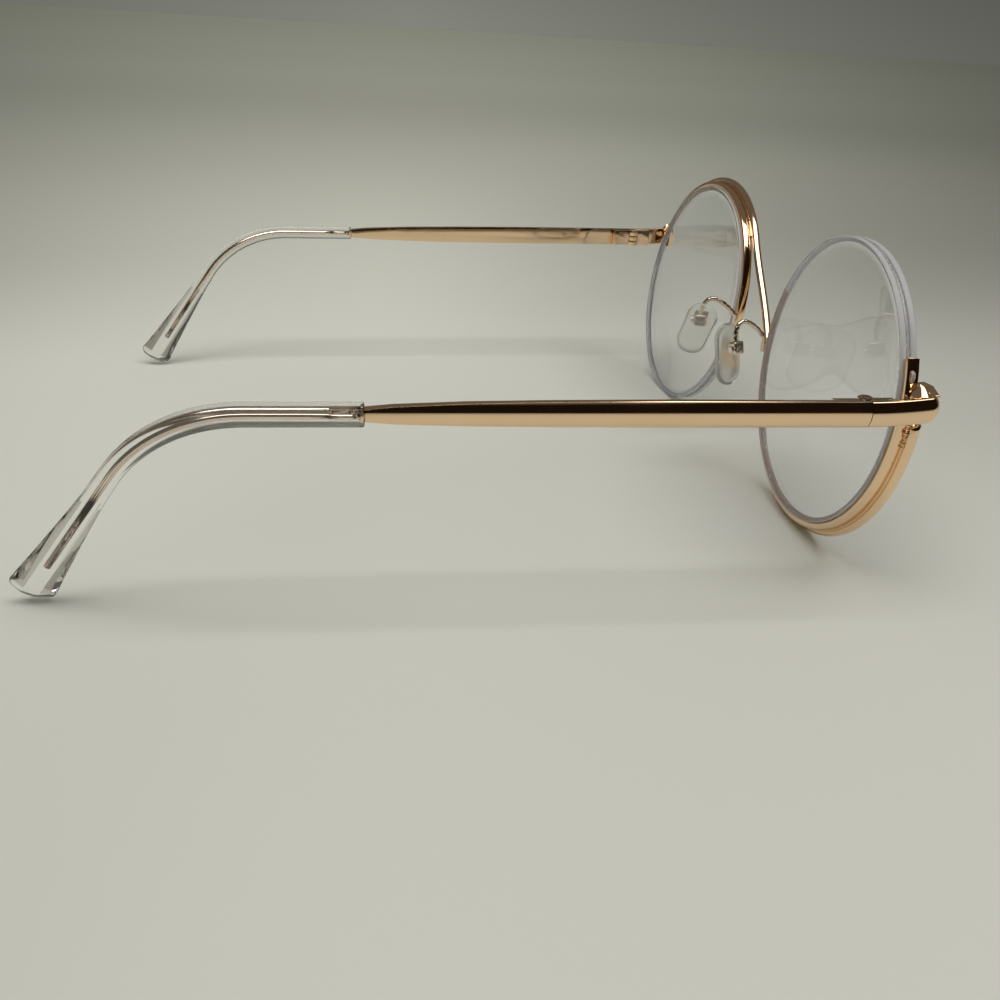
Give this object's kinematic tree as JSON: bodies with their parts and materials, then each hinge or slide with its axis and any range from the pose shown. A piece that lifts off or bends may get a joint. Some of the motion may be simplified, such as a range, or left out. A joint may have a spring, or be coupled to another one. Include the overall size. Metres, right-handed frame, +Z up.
{
  "type": "eyeglasses",
  "caption": "Round semi-rimless eyeglasses whose wire front runs over the left lens, across the nose and under the right lens, with nose pads and folding temples.",
  "frame": {"origin": "on the table, under the middle of the open glasses' outer box", "axes": "+X to the wearer's left, +Y to the back along the open temples, +Z up"},
  "size_m": [0.134, 0.1452, 0.0546],
  "materials": {
    "lens": "clear polished lens resin, edge ground matt",
    "gold": "polished pale rose gold plating",
    "screw": "polished screw heads",
    "nylon": "clear nylon cord",
    "pad": "clear soft pad plastic",
    "tip": "clear polished acetate"
  },
  "bodies": {
    "front": {"lens_right": "lens", "lens_left": "lens", "eye_wire_right": "gold", "eye_wire_left": "gold", "bridge_wire": "gold", "nylon_cord_right": "nylon", "nylon_cord_left": "nylon", "lug_right": "gold", "lug_left": "gold", "end_piece_right": "gold", "end_piece_left": "gold", "front_hinge_right": "gold", "front_hinge_left": "gold", "hinge_screws": "screw", "pad_arm_right": "gold", "pad_arm_left": "gold", "pad_box_right": "gold", "pad_box_left": "gold", "pad_screws": "screw"},
    "pad_right": {"nose_pad_right": "pad"},
    "pad_left": {"nose_pad_left": "pad"},
    "temple_right": {"temple_right": "gold", "temple_hinge_right": "gold", "temple_core_right": "gold", "temple_tip_right": "tip"},
    "temple_left": {"temple_left": "gold", "temple_hinge_left": "gold", "temple_core_left": "gold", "temple_tip_left": "tip"}
  },
  "joints": [
    {"name": "temple_fold_right", "type": "hinge", "parent": "front", "child": "temple_right", "pos_m": [-0.06375, -0.05763, 0.03407], "axis": [0, 0, -1], "range_deg": [0, 80]},
    {"name": "temple_fold_left", "type": "hinge", "parent": "front", "child": "temple_left", "pos_m": [0.06375, -0.05763, 0.03407], "axis": [0, 0, 1], "range_deg": [0, 88]},
    {"name": "pad_swivel_right", "type": "hinge", "parent": "front", "child": "pad_right", "pos_m": [-0.0106, -0.05913, 0.0266], "axis": [-0.4695, 0.8829, 0], "range_deg": [-8, 8]},
    {"name": "pad_swivel_left", "type": "hinge", "parent": "front", "child": "pad_left", "pos_m": [0.0106, -0.05913, 0.0266], "axis": [0.4695, 0.8829, 0], "range_deg": [-8, 8]}
  ]
}
